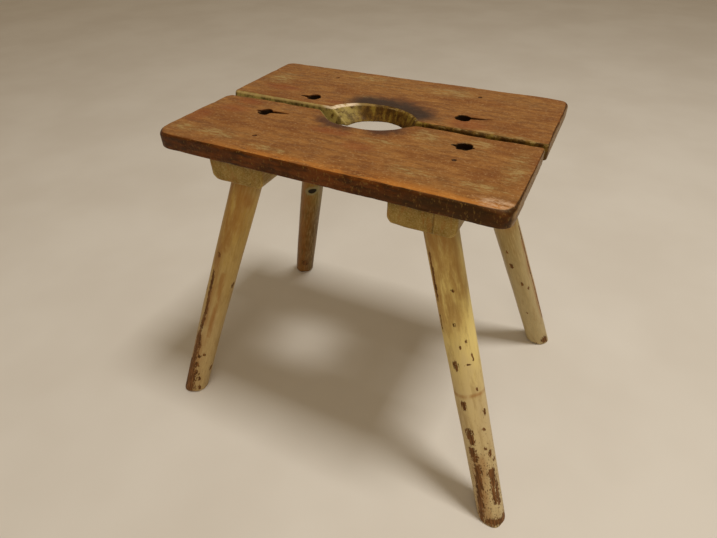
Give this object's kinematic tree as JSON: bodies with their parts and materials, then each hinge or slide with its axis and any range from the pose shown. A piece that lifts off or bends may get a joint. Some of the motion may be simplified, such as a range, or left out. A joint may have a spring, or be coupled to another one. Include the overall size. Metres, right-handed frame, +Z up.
{
  "type": "four-leg stool",
  "caption": "Small wooden work stool: a plank seat with an oval hand hole, on two cross battens with splayed round legs.",
  "frame": {"origin": "on the floor, under the middle of the footprint of the four legs", "axes": "+Z up, +X along the seat planks towards the seat's right end, +Y towards the rear plank"},
  "size_m": [0.5248, 0.3812, 0.431],
  "materials": {
    "seat_varnish": "worn orange-brown varnish",
    "batten_paint": "old cream-yellow paint",
    "leg_paint": "chipped cream-yellow paint",
    "bare_wood": "bare",
    "old_steel": "dark with rust"
  },
  "bodies": {
    "root": {"front_plank": "seat_varnish", "rear_plank": "seat_varnish", "left_batten": "batten_paint", "right_batten": "batten_paint", "front_left_leg": "leg_paint", "front_right_leg": "leg_paint", "rear_right_leg": "leg_paint", "rear_left_leg": "leg_paint", "front_left_wedge": "bare_wood", "front_right_wedge": "bare_wood", "rear_right_wedge": "bare_wood", "rear_left_wedge": "bare_wood", "front_left_screw": "old_steel", "front_right_screw": "old_steel", "rear_right_screw": "old_steel", "rear_left_screw": "old_steel", "front_left_plank_nail": "old_steel", "front_right_plank_nail": "old_steel", "rear_right_plank_nail": "old_steel", "rear_left_plank_nail": "old_steel", "front_left_leg_nail": "old_steel"}
  },
  "joints": []
}
